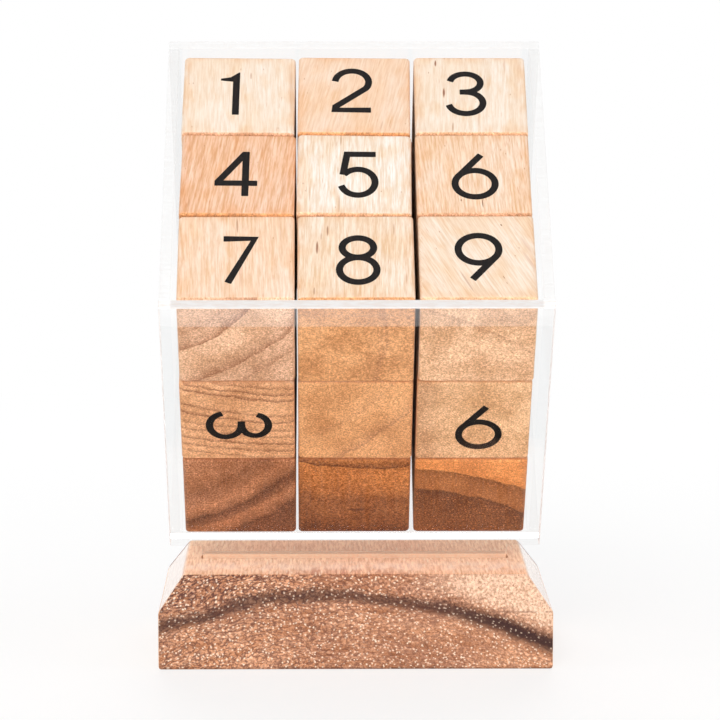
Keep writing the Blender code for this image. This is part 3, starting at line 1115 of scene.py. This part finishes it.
def build_tray():
    """The five clear sheets, with polished faces and milky edges."""
    tray_floor = max(point.z for point in tray_points("floor_panel"))
    front_points = tray_points("front_panel")
    rim = max(point.z for point in front_points)
    outer_face = min(point.y for point in front_points)
    front = acrylic_front(tray_floor, rim, outer_face)
    wall = acrylic_wall()
    edges = [acrylic_edge(name, *milkiness) for name, milkiness in EDGE_MILKINESS.items()]
    front_rim, wall_rim, glued_edge = edges
    for node, axis in SHEET_AXES.items():
        mesh = frame["nodes"][node].data.copy()
        mesh.transform(TRAY_TURN.inverted())
        mesh.materials.clear()
        is_front = node == "front_panel"
        for material in (front, front_rim, glued_edge) if is_front else (wall, wall_rim, glued_edge):
            mesh.materials.append(material)
        for polygon in mesh.polygons:
            is_face = abs(polygon.normal[axis]) > FACING
            is_rim = polygon.normal.z > RIM_FACING and node != "floor_panel"
            beyond_walls = is_front and abs(polygon.center.x) > INNER_HALF_WIDTH * MM
            is_sawn_end = beyond_walls and abs(polygon.normal.x) > RIM_FACING
            polygon.material_index = 0 if is_face else 1 if is_rim or is_sawn_end else 2
        place_piece("sheet_" + node, mesh, TRAY_TURN, "tray", "clear_acrylic", node)


def build_plinth():
    """The plinth keeps its solid and gets its wood."""
    mesh = frame["nodes"]["plinth"].data
    mesh.materials.clear()
    mesh.materials.append(plinth_wood())


# The white table: its reach in metres, its colour in the light, and the share of plain white seen in it near
# the object, and added far behind it between two distances in millimetres
TABLE_REACH = 6.0
TABLE_COLOUR = colour(0.92, 0.92, 0.92)
TABLE_NEAR_WHITENESS = 0.68
TABLE_FAR_WHITENESS = 0.32
TABLE_WHITENS = (100, 500)

# The table's shade under the tray, and where it ends in front, behind and at the sides, in millimetres. It
# shows in gloss, and the white table shows in front of it.
SHADE_COLOUR = colour(0.06, 0.06, 0.06)
SHADE_FRONT = (-67.4, -66.6)
SHADE_BACK = (76.0, 85.0)
SHADE_SIDE = (58.0, 62.0)


def build_floor():
    """A white table, a little glossy, that keeps the object's shadow."""
    form = bmesh.new()
    corners = ((-1, -1), (1, -1), (1, 1), (-1, 1))
    form.faces.new([form.verts.new((x * TABLE_REACH, y * TABLE_REACH, 0)) for x, y in corners])
    floor = shown("floor", finished(form, "floor"))
    floor.data.materials.append(white_table())


def white_table():
    """Lit white, with plain white mixed in where it is looked at, and with the tray's shade in its gloss."""
    material, start = new_material("white_table")
    lit = surface_of(start, TABLE_COLOUR, 0.6, {"Specular IOR Level": 0.05})
    white = start.node("Emission", {0: WHITE, 1: 1.0})
    shaded = surface_of(start, SHADE_COLOUR, 0.9)
    across, back = millimetres(start).parts()[:2]
    whiteness = TABLE_NEAR_WHITENESS + back.rise(*TABLE_WHITENS) * TABLE_FAR_WHITENESS
    in_view = any_ray(start, "Camera", "Transmission")
    in_gloss = any_ray(start, "Glossy")
    in_shade = abs(across).fall(*SHADE_SIDE) * back.fall(*SHADE_BACK)
    surface = (in_view * whiteness).blend(lit, white)
    surface = (in_gloss * in_shade).blend(surface, shaded)
    surface = (in_gloss * back.fall(*SHADE_FRONT)).blend(surface, white)
    start.node("OutputMaterial", {0: surface})
    return material


# The light from all around, and each lamp's place and sizes in metres and its power in watts
WORLD_LIGHT = 0.40
LAMPS = {
    "lamp_high_in_front": ((-0.2, -0.92, 0.90), (0.45, 0.45), 5.0),
    "lamp_low_in_front": ((0.1, -1.3, 0.32), (0.8, 0.4), 5.9),
    "lamp_left": ((-0.9, -0.25, 0.45), (0.6, 0.6), 1.8),
    "lamp_right": ((0.9, -0.25, 0.45), (0.6, 0.6), 1.8),
    "lamp_behind": ((0.0, 1.0, 0.38), (0.9, 0.4), 5.5),
}

# Where the lamps point
OBJECT_MIDDLE = Vector((0, 0, 0.07))


def build_light():
    """Plain soft light from all around, lamps high and low in front, one at each side and one behind."""
    world = bpy.data.worlds.new("studio")
    world.use_nodes = True
    world.node_tree.nodes.clear()
    start = Shade(world.node_tree)
    seen = start.node("Background", {0: WHITE, 1: 1.0})
    lighting = start.node("Background", {0: WHITE, 1: WORLD_LIGHT})
    in_view = any_ray(start, "Camera", "Glossy", "Transmission")
    start.node("OutputWorld", {0: in_view.blend(lighting, seen)})
    bpy.context.scene.world = world
    for name, lamp in LAMPS.items():
        area_lamp(name, *lamp)


def area_lamp(name, place, sizes, power):
    """A soft oblong lamp that faces the object's middle."""
    lamp = bpy.data.lights.new(name, "AREA")
    lamp.shape = "RECTANGLE"
    lamp.size, lamp.size_y = sizes
    lamp.energy = power
    holder = shown(name, lamp)
    holder.location = place
    holder.rotation_euler = (OBJECT_MIDDLE - Vector(place)).to_track_quat("-Z", "Y").to_euler()


def build_camera():
    """The camera of the photograph."""
    camera = bpy.data.cameras.new("camera")
    camera.sensor_width = SENSOR_WIDTH
    camera.lens = FOCAL_PIXELS / PHOTO_PIXELS * SENSOR_WIDTH
    camera.clip_start = 0.01
    camera.clip_end = 50.0
    holder = shown("camera", camera)
    holder.location = CAMERA_PLACE
    holder.rotation_euler = (math.pi / 2 - CAMERA_PITCH, 0, -CAMERA_YAW)
    bpy.context.scene.camera = holder


build_camera()
build_light()
build_floor()
build_plinth()
build_tray()
build_cubes()
bpy.context.scene.view_settings.view_transform = "Standard"
